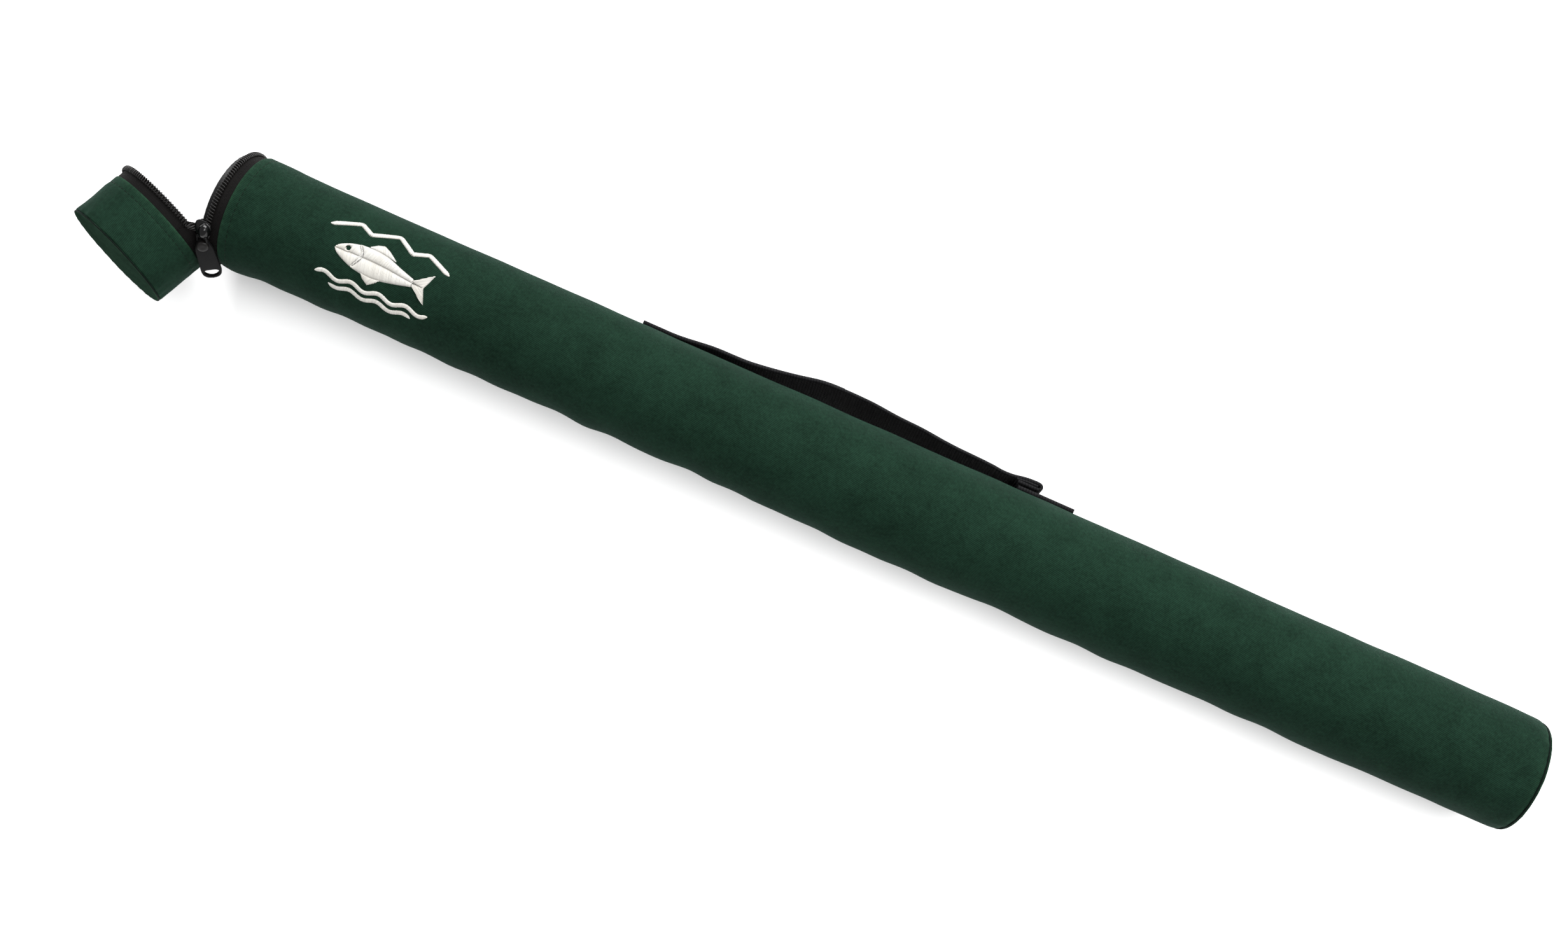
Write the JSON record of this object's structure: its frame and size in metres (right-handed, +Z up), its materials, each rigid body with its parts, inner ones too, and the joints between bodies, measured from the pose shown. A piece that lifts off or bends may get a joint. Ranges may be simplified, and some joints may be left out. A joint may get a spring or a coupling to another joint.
{
  "type": "fishing rod case",
  "caption": "Long rigid tube in a sewn fabric sleeve, with a zipped fabric lid hinged at the mouth and a webbing carry handle on the side.",
  "frame": {"origin": "centre of the outer face of the closed end", "axes": "+X along the tube from the mouth towards the closed end, +Z up with the case lying on its side, handle on the +Y side, lid hinge on the -Y side"},
  "size_m": [0.8387, 0.1103, 0.0808],
  "materials": {
    "fabric_green": "dark green woven nylon, satin",
    "piping": "dark green cord",
    "zip_tape": "black woven tape, matt",
    "webbing": "black ribbed webbing",
    "thread": "off-white satin-stitch thread",
    "zip_coil": "black nylon coil",
    "zip_metal": "black gloss enamel on die-cast zinc",
    "pull_plastic": "black moulded plastic, semi-matt",
    "tube_plastic": "black extruded plastic",
    "foam": "dark closed-cell foam",
    "board": "stiff fibre board"
  },
  "bodies": {
    "case": {"inner_tube": "tube_plastic", "end_plug": "tube_plastic", "bottom_pad": "foam", "body_cover": "fabric_green", "body_seam": "fabric_green", "end_panel": "fabric_green", "end_welt": "piping", "body_zip_tape": "zip_tape", "body_zip_teeth": "zip_coil", "zip_lead_tape": "zip_tape", "zip_lead_teeth": "zip_coil", "zip_start_stop": "zip_metal", "zip_end_stop": "zip_metal", "hinge_patch_body": "zip_tape", "handle_anchor_front": "webbing", "handle_anchor_rear": "webbing", "handle_fold": "webbing", "emblem": "thread"},
    "lid": {"hinge_patch_lid": "zip_tape", "lid_cover": "fabric_green", "lid_seam": "fabric_green", "lid_end_panel": "fabric_green", "lid_end_welt": "piping", "lid_ring": "tube_plastic", "lid_board": "board", "lid_pad": "foam", "lid_zip_tape": "zip_tape", "lid_zip_teeth": "zip_coil"},
    "slider": {"zip_slider": "zip_metal", "slider_bail": "zip_metal"},
    "pull": {"pull_link": "zip_metal", "zip_pull": "pull_plastic"},
    "handle": {"handle_web": "webbing"}
  },
  "joints": [
    {"name": "lid_hinge", "type": "hinge", "parent": "case", "child": "lid", "pos_m": [-0.7664, -0.03082, 0.01031], "axis": [0, 0.3173, 0.9483], "range_deg": [-70.5, 29.5]},
    {"name": "slider_travel", "type": "hinge", "parent": "case", "child": "slider", "pos_m": [-0.7664, 0, 0], "axis": [-1, 0, 0], "range_deg": [0, 285]},
    {"name": "pull_swing", "type": "hinge", "parent": "slider", "child": "pull", "pos_m": [-0.7649, -0.02211, 0.02928], "axis": [-1, 0, 0], "range_deg": [0, 150]},
    {"name": "handle_lift", "type": "slide", "parent": "case", "child": "handle", "axis": [0, 0.8988, -0.4384], "range_m": [0, 0.01]}
  ]
}
